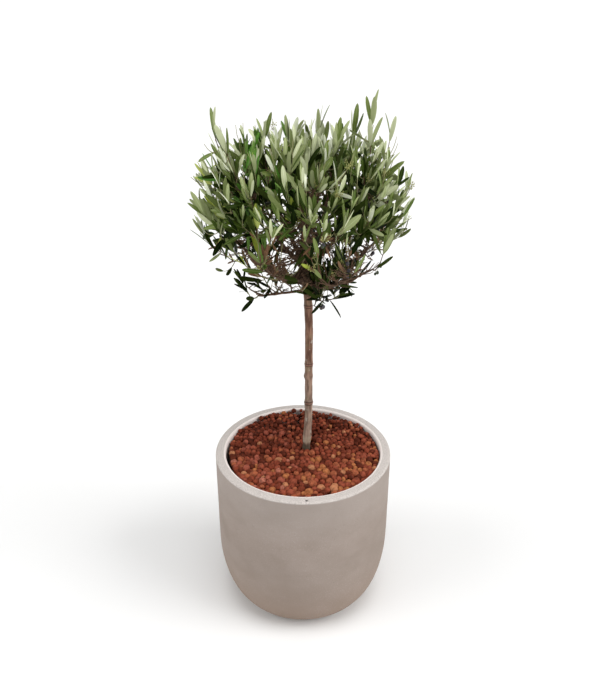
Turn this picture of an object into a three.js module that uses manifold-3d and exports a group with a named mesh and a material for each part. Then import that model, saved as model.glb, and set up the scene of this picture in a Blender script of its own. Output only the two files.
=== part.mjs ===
// A potted olive tree: a clear-stemmed standard with a loose round crown, in a deep U-shaped planter
// topped with fired clay pebbles. Millimetres, +Z up, origin at the centre of the planter's underside.
import * as THREE from "three";
import { mergeVertices } from "three/addons/utils/BufferGeometryUtils.js";
import Module from "manifold-3d";

const wasm = await Module();
wasm.setup();

// ---------------------------------------------------------------- driving dimensions
const GAP = 0.3; // clearance between neighbouring pieces
const SEED = 11; // picks one tree out of the many that the rule can grow
const GOLDEN = Math.PI * (3 - Math.sqrt(5)); // turn from one side shoot to the next
const UP = new THREE.Vector3(0, 0, 1);

const pot = {
  radius: 200,
  height: 392,
  wall: 23,
  shoulder: 186, // height where the straight wall starts to curve in
  baseRadius: 108,
  floor: 30,
  roundness: 2.3, // exponent of the curved foot's outline
  rimEdge: 4.5,
  sides: 36,
};

const fill = {
  mediumTop: 351,
  edgeDrop: 11, // how far the pebbles lie below the rim at the wall
  middleRise: 3, // and above it beside the trunk
  pebbles: 60,
  pebbleRadius: [12, 17],
  sunk: 0.35, // share of a pebble's radius that its centre lies below the surface
};

const trunk = {
  foot: fill.mediumTop + GAP,
  tip: 872,
  sides: 8,
  steps: 18,
  lean: [[351, 4], [405, 8], [478, 12], [611, 12], [700, 12], [770, 9], [820, 4], [872, 0]], // height, x
  rootRadius: 13,
  stemRadius: 8,
  headRadius: 11.5, // the swollen head that the boughs leave
  headHeight: 826,
  headSpread: 30,
  rings: [[516, 1.4], [582, 0.9], [611, 1.1], [748, 1.2]], // height and swell of each old leaf joint
  ringSpread: 5,
};

// The crown's outlines are bodies of revolution about a line beside the trunk.
const crown = {
  x: -4,
  middle: 940,
  twigSpace: { radius: 186, rise: 130, fall: 138 }, // where the twigs end
  leafSpace: { radius: 218, rise: 178, fall: 172 }, // where the leaves of those twigs end
  riseCurve: 3.2, // exponents of the upper and lower outline
  fallCurve: 2.0,
  tips: 112, // how many twig tips are spread evenly through their space
  hollow: 0.56, // leafless share of the way out from the middle
};

// Whorls of boughs. height is where they leave the trunk and stagger the step between neighbours;
// bearing is the first one's direction; slope is above level and lift is how far a limb turns skywards.
const whorls = [
  { name: "low", count: 5, bearing: 20, height: 797, stagger: 13, slope: 5, lift: 0.55,
    bough: 94, stem: 92, radius: 4.8 },
  { name: "high", count: 5, bearing: 56, height: 834, stagger: 14, slope: 40, lift: 0.6,
    bough: 92, stem: 116, radius: 4.6 },
  { name: "top", count: 1, bearing: 80, height: 872 + GAP, stagger: 0, slope: 84, lift: 0,
    bough: 56, stem: 104, radius: 5.2 },
  { name: "left_spray", count: 1, bearing: 196, height: 784, stagger: 0, slope: -4, lift: 0.1,
    bough: 58, stem: 46, radius: 2.9 },
  { name: "right_spray", count: 1, bearing: 330, height: 782, stagger: 0, slope: 16, lift: 0.3,
    bough: 92, stem: 74, radius: 3.0 },
  { name: "front_spray", count: 1, bearing: 302, height: 767, stagger: 0, slope: 30, lift: -0.3,
    bough: 42, stem: 34, radius: 2.8 },
];

// Tips of the shoots that stand out of the crown, x, y, z.
const leaders = [
  [-168, -8, 1078], [124, -44, 1108], [166, 20, 1064], [96, 40, 1090], [-140, -60, 1050],
  [160, -60, 960], [152, -80, 890], [-112, -50, 800], [32, -78, 796], [62, -56, 790],
  [-76, 30, 1082], [-28, -30, 1090], [30, 40, 1098], [62, -30, 1086], [-186, -70, 960],
];

const twig = { sides: 4, stemRadius: [3.8, 2.7], radius: [1.6, 1.4], sag: 0.2, leaderSag: 0.32 };
const leaf = {
  length: 74,
  halfWidth: 10,
  fold: 2.2, // how far its edges stand above the line from root to tip
  sunk: 0.8,
  widest: 0.44,
  open: [0.62, 0.4, 0.9, 1.2], // radians away from its twig; the first that has room is taken
  lift: 0.35,
  pairs: [0.58, 0.8], // places of the opposite pairs along a twig
};
// Fruit hangs on some twigs of the crown's +X side, below a height.
const fruit = { radius: 4.4, stalk: 8, place: 0.4, share: 0.45, from: 30, below: 1030 };

const finish = (color, roughness) => new THREE.MeshStandardMaterial({ color, roughness, metalness: 0 });
const materials = {
  planter: finish(0xb3a9a2, 0.85),
  medium: finish(0x35281f, 1.0),
  pebble: finish(0x8e4b36, 0.9),
  bark: finish(0x7d6a5a, 0.85),
  foliage: finish(0x6c8050, 0.6),
};

// ---------------------------------------------------------------- small helpers
const mix = (a, b, t) => a + (b - a) * t;
const degrees = THREE.MathUtils.degToRad;

// A repeatable number from 0 to 1 for a set of whole numbers.
function chance(...keys) {
  let bits = SEED;
  for (const key of keys) {
    bits = Math.imul(bits ^ (key + 1), 0x9e3779b1);
    bits ^= bits >>> 15;
    bits = Math.imul(bits, 0x85ebca6b);
    bits ^= bits >>> 13;
  }
  return (bits >>> 0) / 2 ** 32;
}

// What the angles round a shoot are counted from: straight up, or +X for a steep shoot.
function poleFor(points) {
  const way = points.at(-1).clone().sub(points[0]).normalize();
  return Math.abs(way.z) < 0.9 ? UP : new THREE.Vector3(1, 0, 0);
}

// A unit vector square to direction, at an angle round it.
function sideways(direction, angle, pole) {
  const first = new THREE.Vector3().crossVectors(pole, direction).normalize();
  const second = new THREE.Vector3().crossVectors(direction, first);
  return first.multiplyScalar(Math.cos(angle)).addScaledVector(second, Math.sin(angle));
}

// A closed geometry, its shared corners merged, as a solid that can be cut and joined.
function toSolid(geometry) {
  const bare = geometry.clone();
  bare.deleteAttribute("normal");
  bare.deleteAttribute("uv");
  const merged = mergeVertices(bare, 1e-4);
  const vertProperties = new Float32Array(merged.attributes.position.array);
  const triVerts = new Uint32Array(merged.index.array);
  return new wasm.Manifold(new wasm.Mesh({ numProp: 3, vertProperties, triVerts }));
}

function toGeometry(solid) {
  const { vertProperties, triVerts } = solid.getMesh();
  const geometry = new THREE.BufferGeometry();
  geometry.setAttribute("position", new THREE.BufferAttribute(vertProperties, 3));
  geometry.setIndex(new THREE.BufferAttribute(triVerts, 1));
  geometry.computeVertexNormals();
  return geometry;
}

function fromCorners(corners, faces) {
  const geometry = new THREE.BufferGeometry();
  const places = corners.flatMap((corner) => corner.toArray());
  geometry.setAttribute("position", new THREE.Float32BufferAttribute(places, 3));
  geometry.setIndex(faces);
  return geometry;
}

// A closed tube along points, with a radius at each of them. Its sections are level if asked for.
function limbGeometry(points, radii, sides, level = false) {
  const corners = [];
  const faces = [];
  const pole = poleFor(points);
  points.forEach((point, i) => {
    const before = points[Math.max(i - 1, 0)];
    const after = points[Math.min(i + 1, points.length - 1)];
    const direction = level ? UP : after.clone().sub(before).normalize();
    for (let s = 0; s < sides; s++) {
      const out = sideways(direction, (2 * Math.PI * s) / sides, pole);
      corners.push(point.clone().addScaledVector(out, radii[i]));
    }
  });
  for (let i = 0; i + 1 < points.length; i++)
    for (let s = 0; s < sides; s++) {
      const [a, b] = [i * sides + s, i * sides + ((s + 1) % sides)];
      faces.push(a, b, b + sides, a, b + sides, a + sides);
    }
  const last = (points.length - 1) * sides;
  for (let s = 1; s + 1 < sides; s++) faces.push(0, s + 1, s, last, last + s, last + s + 1);
  return fromCorners(corners, faces);
}

// The points of a shoot that sets out along heading and turns skywards as it grows.
function grow(start, heading, length, lift, steps) {
  const points = [start.clone()];
  const direction = heading.clone().normalize();
  for (let i = 0; i < steps; i++) {
    points.push(points[i].clone().addScaledVector(direction, length / steps));
    direction.z += lift / steps;
    direction.normalize();
  }
  return points;
}

const endDirection = (points) => points.at(-1).clone().sub(points.at(-2)).normalize();
const taper = (points, [from, to]) => points.map((_, i) => mix(from, to, i / (points.length - 1)));

// The point at share t of a shoot, and the direction of the shoot there.
function pointAlong(points, t) {
  const place = Math.min(t, 0.9999) * (points.length - 1);
  const i = Math.floor(place);
  const direction = points[i + 1].clone().sub(points[i]);
  return [points[i].clone().addScaledVector(direction, place - i), direction.normalize()];
}

// ---------------------------------------------------------------- planter and fill
// Outline of the curved foot: from the shoulder down to the base, quarter of a rounded rectangle.
function footOutline(wallRadius, baseRadius, bottom, steps) {
  const power = 2 / pot.roundness;
  return Array.from({ length: steps + 1 }, (_, i) => {
    const angle = (Math.PI / 2) * (i / steps);
    const radius = mix(baseRadius, wallRadius, Math.sin(angle) ** power);
    return new THREE.Vector2(radius, bottom + (pot.shoulder - bottom) * (1 - Math.cos(angle) ** power));
  });
}

function lathe(outline, sides) {
  return new THREE.LatheGeometry(outline, sides).rotateX(Math.PI / 2);
}

function potGeometry() {
  const { radius, height, wall, rimEdge, floor } = pot;
  const inner = radius - wall;
  const rounded = (centre, from) =>
    [0, 1, 2].map((i) => {
      const angle = from + (Math.PI / 4) * i;
      return new THREE.Vector2(centre + rimEdge * Math.cos(angle), height + rimEdge * (Math.sin(angle) - 1));
    });
  const outline = [
    new THREE.Vector2(0, 0),
    ...footOutline(radius, pot.baseRadius, 0, 8),
    ...rounded(radius - rimEdge, 0),
    ...rounded(inner + rimEdge, Math.PI / 2),
    ...footOutline(inner, pot.baseRadius - wall, floor, 4).reverse(),
    new THREE.Vector2(0, floor),
  ];
  return lathe(outline, pot.sides);
}

function mediumGeometry() {
  const inner = pot.radius - pot.wall - 1;
  const outline = [
    new THREE.Vector2(0, pot.floor + GAP),
    ...footOutline(inner - 1, pot.baseRadius - pot.wall - 2, pot.floor + GAP, 4),
    new THREE.Vector2(inner - 1, fill.mediumTop),
    new THREE.Vector2(0, fill.mediumTop),
  ];
  return lathe(outline, pot.sides / 2);
}

// The pebbles' level: a low mound, highest beside the trunk.
function pebbleLevel(radius) {
  const share = Math.min(radius / (pot.radius - pot.wall), 1);
  return pot.height + mix(fill.middleRise, -fill.edgeDrop, share ** 2);
}

function pebbleSolid() {
  const reach = pot.radius - pot.wall - 1.5;
  const sink = fill.pebbleRadius[0] * fill.sunk;
  const levels = [1, 0.66, 0.33, 0].map((share) =>
    new THREE.Vector2(reach * share, pebbleLevel(reach * share) - sink));
  const bottom = fill.mediumTop + GAP;
  const bed = [new THREE.Vector2(0, bottom), new THREE.Vector2(reach, bottom), ...levels];
  const solids = [toSolid(lathe(bed, pot.sides / 2))];
  for (let i = 0; i < fill.pebbles; i++) {
    const size = mix(...fill.pebbleRadius, chance(1, i));
    const radius = (reach - size) * Math.sqrt((i + 0.5) / fill.pebbles);
    const pebble = new THREE.IcosahedronGeometry(size, 0);
    pebble.rotateX(6 * chance(2, i)).rotateY(6 * chance(3, i)).scale(1, 1, 0.85);
    pebble.translate(
      radius * Math.cos(i * GOLDEN),
      radius * Math.sin(i * GOLDEN),
      pebbleLevel(radius) - size * (0.85 - 0.5 * chance(4, i)),
    );
    solids.push(toSolid(pebble));
  }
  return wasm.Manifold.union(solids);
}

// ---------------------------------------------------------------- trunk
function trunkRadius(height) {
  const { rootRadius, stemRadius, headRadius, headHeight, headSpread, rings, ringSpread } = trunk;
  const flare = (rootRadius - stemRadius) * Math.exp(-(height - trunk.foot) / 26);
  const head = (headRadius - stemRadius) * Math.exp(-(((height - headHeight) / headSpread) ** 2));
  const swells = rings.map(([at, by]) => by * Math.exp(-(((height - at) / ringSpread) ** 2)));
  return swells.reduce((sum, swell) => sum + swell, stemRadius + flare + head);
}

const leanCurve = new THREE.CatmullRomCurve3(
  trunk.lean.map(([height, x]) => new THREE.Vector3(x, 0, height)), false, "catmullrom", 0.5);

// The trunk's middle at a height, from the curve through its lean.
function trunkMiddle(height) {
  const spans = trunk.lean.length - 1;
  let span = 0;
  while (span < spans - 1 && trunk.lean[span + 1][0] < height) span++;
  const [low, high] = [trunk.lean[span][0], trunk.lean[span + 1][0]];
  const x = leanCurve.getPoint((span + (height - low) / (high - low)) / spans).x;
  return new THREE.Vector3(x, 0, height);
}

// Heights of the trunk's sections: even steps, and three more at each ring.
function trunkHeights() {
  const { foot, tip, steps, rings, ringSpread } = trunk;
  const even = Array.from({ length: steps + 1 }, (_, i) => mix(foot, tip, i / steps));
  const near = rings.flatMap(([at]) => [at - ringSpread, at, at + ringSpread]);
  const clear = even.filter((h) => near.every((n) => Math.abs(n - h) > ringSpread));
  return [...clear, ...near].sort((a, b) => a - b);
}

function trunkSolid(grown = 0) {
  const heights = trunkHeights();
  const radii = heights.map((height) => trunkRadius(height) + grown);
  return toSolid(limbGeometry(heights.map(trunkMiddle), radii, trunk.sides, true));
}

// ---------------------------------------------------------------- the plan of the crown
// Every bough, the foliage stem that goes on from its tip, and the middle of the foliage's own space.
function planLimbs() {
  const limbs = [];
  whorls.forEach((whorl, w) => {
    for (let i = 0; i < whorl.count; i++) {
      const many = whorl.count > 1 ? 1 : 0;
      const name = many ? `${whorl.name}_${i + 1}` : whorl.name;
      const bearing = degrees(whorl.bearing + (360 / whorl.count) * i + many * 14 * (chance(5, w, i) - 0.5));
      const slope = degrees(whorl.slope + many * 12 * (chance(6, w, i) - 0.5));
      const heading = new THREE.Vector3(
        Math.cos(bearing) * Math.cos(slope), Math.sin(bearing) * Math.cos(slope), Math.sin(slope));
      const start = trunkMiddle(whorl.height + whorl.stagger * (i % 2));
      const bough = grow(start, heading, whorl.bough, whorl.lift, 5);
      const on = endDirection(bough);
      const stemStart = bough.at(-1).clone().addScaledVector(on, GAP);
      const stem = grow(stemStart, on, whorl.stem, whorl.lift * 0.8, 3);
      const [centre] = pointAlong(stem, 0.6);
      limbs.push({ name, key: w * 10 + i, radius: whorl.radius, bough, stem, centre });
    }
  });
  return limbs;
}

const limbs = planLimbs();

// How far out a point lies: 0 at the crown's middle, 1 at the edge of a space.
function outwardness(point, space) {
  const rise = (point.z - crown.middle) / (point.z > crown.middle ? space.rise : space.fall);
  const out = Math.hypot(point.x - crown.x, point.y) / space.radius;
  const curve = rise > 0 ? crown.riseCurve : crown.fallCurve;
  return (out ** curve + Math.abs(rise) ** curve) ** (1 / curve);
}

// A mass owns the points that lie nearer to its own centre than to any other, by a margin.
function isOwn(limb, point, margin) {
  const own = point.distanceToSquared(limb.centre);
  return limbs.every((other) => other === limb ||
    point.distanceToSquared(other.centre) - own > 2 * margin * other.centre.distanceTo(limb.centre));
}

function boughSolid(limb, grown = 0) {
  const radii = taper(limb.bough, [limb.radius, limb.radius * 0.6]).map((radius) => radius + grown);
  return toSolid(limbGeometry(limb.bough, radii, 6));
}

// The space that the foliage leaves free round the trunk and the boughs.
const limbRoom = wasm.Manifold.union([trunkSolid(3), ...limbs.map((limb) => boughSolid(limb, 1.5))]);
const touches = (solid, others) => others.some((other) => !other.intersect(solid).isEmpty());

// Places spread evenly through the leafy part of the crown.
function spreadTips() {
  const tips = [];
  const { radius, rise, fall } = crown.twigSpace;
  const half = new THREE.Vector3(radius, radius, Math.max(rise, fall));
  for (let i = 0; tips.length < crown.tips; i++) {
    const at = [0.819173, 0.671044, 0.549700].map((step) => 2 * ((0.5 + step * i) % 1) - 1);
    const tip = new THREE.Vector3(...at).multiply(half).add(new THREE.Vector3(crown.x, 0, crown.middle));
    const out = outwardness(tip, crown.twigSpace);
    if (out > crown.hollow && out < 1) tips.push(tip);
  }
  return tips;
}

// ---------------------------------------------------------------- foliage
// The corners of a leaf: root, left, right and tip. The blade folds up a little from the line between
// its ends, and its root is sunk past the middle of the twig.
function leafCorners(root, heading, across, length, halfWidth) {
  const face = new THREE.Vector3().crossVectors(heading, across).normalize();
  const at = (along, aside, above) => root.clone().addScaledVector(heading, along)
    .addScaledVector(across, aside).addScaledVector(face, above);
  const widest = length * leaf.widest;
  const [left, right] = [-halfWidth, halfWidth].map((aside) => at(widest, aside, leaf.fold));
  return [at(-leaf.sunk, 0, 0), left, right, at(length, 0, 0)];
}

// Opposite pairs of leaves, each turned a quarter from the last, and one more leaf at the end. They are
// added to found; a leaf that would touch one of the others is opened wider or left out.
function leavesAlong(limb, points, key, others, found) {
  const standsOut = key < leaders.length;
  const pole = poleFor(points);
  const places = [...leaf.pairs.flatMap((t) => [t, t]), 0.97];
  const high = THREE.MathUtils.clamp((points.at(-1).z - crown.middle + 95) / 70, -0.2, 1);
  places.forEach((t, n) => {
    const [root, direction] = pointAlong(points, t);
    const draw = (k) => chance(20 + k, key, n);
    const round = Math.PI * (0.25 + n + 0.5 * Math.floor(n / 2));
    for (const open of n === places.length - 1 ? [0.1, 0.35] : leaf.open) {
      const heading = direction.clone().multiplyScalar(Math.cos(open))
        .addScaledVector(sideways(direction, round, pole), Math.sin(open));
      heading.z += leaf.lift * high * (0.5 + draw(0));
      heading.normalize();
      const across = new THREE.Vector3().crossVectors(direction, heading).normalize();
      const length = leaf.length * mix(0.8, 1.12, draw(1));
      const corners = leafCorners(root, heading, across, length, leaf.halfWidth * mix(0.85, 1.1, draw(2)));
      if (!corners.every((c) => isOwn(limb, c, GAP))) continue;
      if (!standsOut && outwardness(corners[3], crown.leafSpace) > 1) continue;
      const solid = toSolid(fromCorners(corners, [0, 1, 2, 1, 3, 2, 0, 3, 1, 0, 2, 3]));
      if (touches(solid, others)) continue;
      found.push(solid);
      break;
    }
  });
}

// The points of a twig from the best placed point of the stem to a tip.
function reach(stem, tip, sag) {
  let best = { cost: Infinity };
  for (let step = 1; step < 24; step++) {
    const [from, direction] = pointAlong(stem, step / 24);
    const way = tip.clone().sub(from);
    const cost = way.length() * (1.7 - way.clone().normalize().dot(direction));
    if (cost < best.cost) best = { cost, from, way };
  }
  const middle = best.from.clone().addScaledVector(best.way, 0.5);
  middle.z -= sag * best.way.length();
  return [best.from, middle, tip];
}

// A fruit on its stalk, hanging from a twig.
function fruitSolid(points) {
  const [top] = pointAlong(points, fruit.place);
  const foot = top.clone().addScaledVector(UP, -fruit.stalk);
  const ball = new THREE.IcosahedronGeometry(fruit.radius, 0).scale(1, 1, 1.15);
  ball.translate(foot.x, foot.y, foot.z - fruit.radius * 0.8);
  return toSolid(limbGeometry([top, foot], [0.8, 0.8], 3)).add(toSolid(ball));
}

function foliageSolid(limb, tips) {
  const shoot = (points, radii, key) =>
    ({ points, key, solid: toSolid(limbGeometry(points, taper(points, radii), twig.sides)) });
  const shoots = [shoot(limb.stem, twig.stemRadius, 500 + limb.key)];
  tips.forEach((tip, key) => {
    const points = reach(limb.stem, tip, key < leaders.length ? twig.leaderSag : twig.sag);
    const next = shoot(points, twig.radius, key);
    const inside = isOwn(limb, tip, 3) && isOwn(limb, points[1], 3);
    if (inside && !touches(next.solid, [limbRoom])) shoots.push(next);
  });
  const leaves = [];
  const fruits = [];
  for (const { points, key, solid } of shoots) {
    const wood = shoots.map((other) => other.solid).filter((other) => other !== solid);
    const others = [limbRoom, ...wood, ...leaves, ...fruits];
    leavesAlong(limb, points, key, others, leaves);
    const tip = points.at(-1);
    const bears = tip.x > fruit.from && tip.z < fruit.below && chance(40, key) < fruit.share;
    const drop = fruitSolid(points);
    if (key < 500 && bears && !touches(drop, [...others, ...leaves])) fruits.push(drop);
  }
  return wasm.Manifold.union([...shoots.map(({ solid }) => solid), ...leaves, ...fruits]);
}

// ---------------------------------------------------------------- the assembly
const plant = new THREE.Group();

function place(name, geometry, material) {
  const mesh = new THREE.Mesh(geometry, material);
  mesh.name = name;
  plant.add(mesh);
}

const roomForTrunk = trunkSolid(GAP);
place("planter", potGeometry(), materials.planter);
place("growing_medium", mediumGeometry(), materials.medium);
place("clay_pebbles", toGeometry(pebbleSolid().subtract(roomForTrunk)), materials.pebble);
place("trunk", toGeometry(trunkSolid()), materials.bark);

const tips = [...leaders.map((at) => new THREE.Vector3(...at)), ...spreadTips()];
for (const limb of limbs) {
  place(`bough_${limb.name}`, toGeometry(boughSolid(limb).subtract(roomForTrunk)), materials.bark);
  place(`foliage_${limb.name}`, toGeometry(foliageSolid(limb, tips)), materials.foliage);
}

export default plant;
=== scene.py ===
import math

import bmesh
import bpy
import numpy as np
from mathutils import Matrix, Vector, noise


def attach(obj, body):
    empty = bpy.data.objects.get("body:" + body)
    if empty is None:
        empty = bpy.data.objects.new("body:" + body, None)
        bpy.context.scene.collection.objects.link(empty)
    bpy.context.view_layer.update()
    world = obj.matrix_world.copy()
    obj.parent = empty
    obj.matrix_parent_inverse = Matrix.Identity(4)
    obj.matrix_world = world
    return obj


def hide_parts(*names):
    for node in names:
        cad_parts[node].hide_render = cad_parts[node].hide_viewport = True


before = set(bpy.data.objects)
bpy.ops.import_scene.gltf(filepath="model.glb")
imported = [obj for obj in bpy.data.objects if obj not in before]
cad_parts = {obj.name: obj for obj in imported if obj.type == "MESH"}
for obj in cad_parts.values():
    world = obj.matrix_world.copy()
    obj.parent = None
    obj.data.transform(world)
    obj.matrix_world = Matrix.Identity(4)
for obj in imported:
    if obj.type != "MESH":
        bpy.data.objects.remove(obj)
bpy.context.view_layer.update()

# A potted olive tree. Shapes are worked out in millimetres and brought to metres as they become meshes.
millimetre = 0.001
goldenTurn = math.pi * (3 - math.sqrt(5))
foliageNodes = sorted(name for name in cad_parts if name.startswith("foliage_"))
boughNodes = sorted(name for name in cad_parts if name.startswith("bough_"))


# small helpers

def maths(operation, swapped=False):
    # an operator of a wire, which adds a Math node
    def operate(self, other):
        first, second = (other, self) if swapped else (self, other)
        return self.finish.node("ShaderNodeMath", {"operation": operation}, {0: first, 1: second})
    return operate


class Wire:
    # one output of a shader node; arithmetic on it adds Math nodes
    def __init__(self, finish, socket):
        self.finish = finish
        self.socket = socket

    __add__, __radd__ = maths("ADD"), maths("ADD", True)
    __sub__, __rsub__ = maths("SUBTRACT"), maths("SUBTRACT", True)
    __mul__, __truediv__ = maths("MULTIPLY"), maths("DIVIDE")

    def above(self, edge, width):
        # 0 below edge, 1 from edge + width upwards, smooth between
        settings = {"interpolation_type": "SMOOTHSTEP"}
        return self.finish.node("ShaderNodeMapRange", settings, {0: self, 1: edge, 2: edge + width})


class Finish:
    # a material, with one method that adds any node to it
    def __init__(self, name, **sockets):
        self.material = bpy.data.materials.new(name)
        self.material.use_nodes = True
        self.tree = self.material.node_tree
        self.shader = self.tree.nodes["Principled BSDF"]
        self.feed(sockets)
        if isinstance(sockets.get("base"), tuple):
            self.material.diffuse_color = (*sockets["base"], 1)

    def feed(self, sockets):
        names = {"base": "Base Color", "roughness": "Roughness", "normal": "Normal",
                 "specular": "Specular IOR Level", "coat": "Coat Weight", "coatRoughness": "Coat Roughness"}
        for name, value in sockets.items():
            self.put(self.shader.inputs[names[name]], value)

    def put(self, socket, value):
        if isinstance(value, Wire):
            self.tree.links.new(value.socket, socket)
        elif isinstance(value, tuple) and socket.type == "RGBA":
            socket.default_value = (*value, 1)
        else:
            socket.default_value = value

    def node(self, kind, settings, values, output=0):
        made = self.tree.nodes.new(kind)
        for name, value in settings.items():
            if name == "stops":
                self.setStops(made.color_ramp, value)
            else:
                setattr(made, name, value)
        for name, value in values.items():
            self.put(made.inputs[name], value)
        return Wire(self, made.outputs[output])

    def setStops(self, ramp, stops):
        for i, (place, colour) in enumerate(stops):
            stop = ramp.elements[i] if i < 2 else ramp.elements.new(place)
            stop.position = place
            stop.color = (*colour, 1)

    def place(self, stretch=(1, 1, 1)):
        # the point of the surface in metres, stretched for streaks and grain
        where = self.node("ShaderNodeTexCoord", {}, {}, "Object")
        if stretch == (1, 1, 1):
            return where
        return self.node("ShaderNodeVectorMath", {"operation": "MULTIPLY"}, {0: where, 1: stretch})

    def noise(self, scale, detail=3.0, stretch=(1, 1, 1), rough=0.5):
        values = {"Vector": self.place(stretch), "Scale": scale, "Detail": detail, "Roughness": rough}
        return self.node("ShaderNodeTexNoise", {}, values)

    def spots(self, scale):
        # distance to the nearest of many scattered points, in cells
        return self.node("ShaderNodeTexVoronoi", {}, {"Vector": self.place(), "Scale": scale})

    def blend(self, share, first, second):
        # a colour from first to second
        return self.node("ShaderNodeMix", {"data_type": "RGBA"}, {0: share, 6: first, 7: second}, 2)

    def layers(self, colour, *coats):
        # colours laid one over the other, each with the share it covers
        for share, coat in coats:
            colour = self.blend(share, colour, coat)
        return colour

    def measure(self, axis):
        # one coordinate of the point of the surface, in metres
        return self.node("ShaderNodeSeparateXYZ", {}, {0: self.place()}, axis)

    def away(self, x, y):
        # distance in plan from an upright line, in metres
        values = {0: self.place((1, 1, 0)), 1: (x, y, 0)}
        return self.node("ShaderNodeVectorMath", {"operation": "DISTANCE"}, values, "Value")

    def relief(self, height, distance, strength=1.0):
        return self.node("ShaderNodeBump", {}, {"Height": height, "Distance": distance, "Strength": strength})


class Heap:
    # many small shapes, to be joined into one mesh
    def __init__(self):
        self.points, self.triangles, self.kinds, self.count = [], [], [], 0

    def add(self, points, triangles, kind=0):
        self.points.append(points)
        self.triangles.append(np.asarray(triangles) + self.count)
        self.kinds.append(np.broadcast_to(kind, len(triangles)))
        self.count += len(points)

    def joined(self):
        return np.vstack(self.points), np.vstack(self.triangles), np.concatenate(self.kinds)


def addPiece(name, points, triangles, kinds, finishes):
    # a mesh, where kinds tells each triangle's finish
    mesh = bpy.data.meshes.new(name)
    mesh.from_pydata((np.asarray(points) * millimetre).tolist(), [], np.asarray(triangles).tolist())
    mesh.validate()
    mesh.shade_smooth()
    for finish in finishes:
        mesh.materials.append(finish.material)
    mesh.polygons.foreach_set("material_index", np.broadcast_to(kinds, len(mesh.polygons)).astype(np.int32))
    piece = bpy.data.objects.new(name, mesh)
    bpy.context.scene.collection.objects.link(piece)
    return piece


def dress(piece, nodes):
    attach(piece, "root")
    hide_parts(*nodes)
    print(piece.name, "made,", len(piece.data.polygons), "faces")


def unit(vectors):
    return vectors / np.maximum(np.linalg.norm(vectors, axis=-1, keepdims=True), 1e-9)


def mix(first, second, share):
    return first + (second - first) * share


def clamp(value, low=0, high=1):
    return min(max(value, low), high)


def ramp(value, start, width):
    # 0 up to start, 1 from start + width on
    return clamp((value - start) / width)


def bump(value, middle, width):
    # 1 at the middle, falling away smoothly on both sides
    return np.exp(-(((value - middle) / width) ** 2))


def turned(first, second, angle):
    # first, turned by the angle towards second
    return first * math.cos(angle) + second * math.sin(angle)


def towards(turn, rise=0.0):
    # one step in plan at an angle, with a rise
    return np.array([math.cos(turn), math.sin(turn), rise])


def grain(points, size, seed=0.0):
    # smooth noise from -1 to 1 at each point, with bumps of about size
    shift = Vector((seed * 7.31, seed * -3.17, seed * 5.03))
    return np.array([noise.noise(Vector(point) / size + shift) for point in points])


def wiggles(line, size, seed):
    # smooth noise in all three directions
    return np.stack([grain(line, size, seed + axis) for axis in range(3)], -1)


def spline(before, here, after, beyond, share):
    # a point between here and after on a Catmull-Rom curve
    leave, arrive = (after - before) / 2, (beyond - here) / 2
    square = 3 * (after - here) - 2 * leave - arrive
    cube = 2 * (here - after) + leave + arrive
    return here + leave * share + square * share**2 + cube * share**3


def smoothLine(points, perSpan):
    ends = np.vstack([2 * points[0] - points[1], points, 2 * points[-1] - points[-2]])
    share = np.linspace(0, 1, perSpan, endpoint=False)[:, None]
    spans = zip(ends, ends[1:], ends[2:], ends[3:])
    return np.vstack([*(spline(*span, share) for span in spans), points[-1]])


def ringWall(rings, sides):
    # the triangles between one ring of points and the next
    here = np.arange(rings - 1)[:, None] * sides + np.arange(sides)
    beside = np.arange(rings - 1)[:, None] * sides + (np.arange(sides) + 1) % sides
    return np.stack([here, beside, beside + sides, here, beside + sides, here + sides], -1).reshape(-1, 3)


def tube(line, radii, sides):
    # a closed tube along a line, as points and triangles
    along = unit(np.gradient(line, axis=0))
    pole = np.eye(3)[np.argmin(np.abs(line[-1] - line[0]))]
    first = unit(np.cross(pole, along))
    second = np.cross(along, first)
    angle = np.linspace(0, 2 * math.pi, sides, endpoint=False)
    ring = first[:, None] * np.cos(angle)[:, None] + second[:, None] * np.sin(angle)[:, None]
    points = (line[:, None] + ring * np.asarray(radii)[:, None, None]).reshape(-1, 3)
    fan = np.array([[0, s + 1, s] for s in range(1, sides - 1)])
    last = (len(line) - 1) * sides
    return points, np.vstack([ringWall(len(line), sides), fan, last + fan[:, ::-1]])


def ball(steps):
    # a round shape of radius 1, as points and triangles
    made = bmesh.new()
    bmesh.ops.create_icosphere(made, subdivisions=steps, radius=1)
    points = np.array([corner.co[:] for corner in made.verts])
    triangles = np.array([[corner.index for corner in face.verts] for face in made.faces])
    made.free()
    return points, triangles


# planter

planter = {
    "radius": 200, "height": 392, "wall": 23,
    "shoulder": 186,  # height where the straight wall starts to curve in
    "baseRadius": 108, "floor": 30, "roundness": 2.3, "rimEdge": 4.5,
    "segments": 320,
    "unevenness": 0.7,  # how far the cast wall wanders
    "pit": (6.5, -190.6), "pitRadius": 3.2, "pitDepth": 3.0,  # the air hole in the rim
    "pitSpan": 0.02, "pitSegments": 26,  # radians to either side of it that are divided more finely
    "stone": (0.352, 0.291, 0.256), "stoneDark": (0.262, 0.213, 0.180), "rimStoneLitAndWorn": (0.73, 0.675, 0.64),
    "innerStone": (0.80, 0.73, 0.69),
}


def footOutline(wallRadius, baseRadius, bottom, steps):
    # quarter of a rounded rectangle, from the base up to the shoulder
    angle = np.linspace(0, math.pi / 2, steps + 1)
    power = 2 / planter["roundness"]
    radius = mix(baseRadius, wallRadius, np.sin(angle) ** power)
    level = bottom + (planter["shoulder"] - bottom) * (1 - np.cos(angle).clip(0) ** power)
    return list(zip(radius, level))


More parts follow.
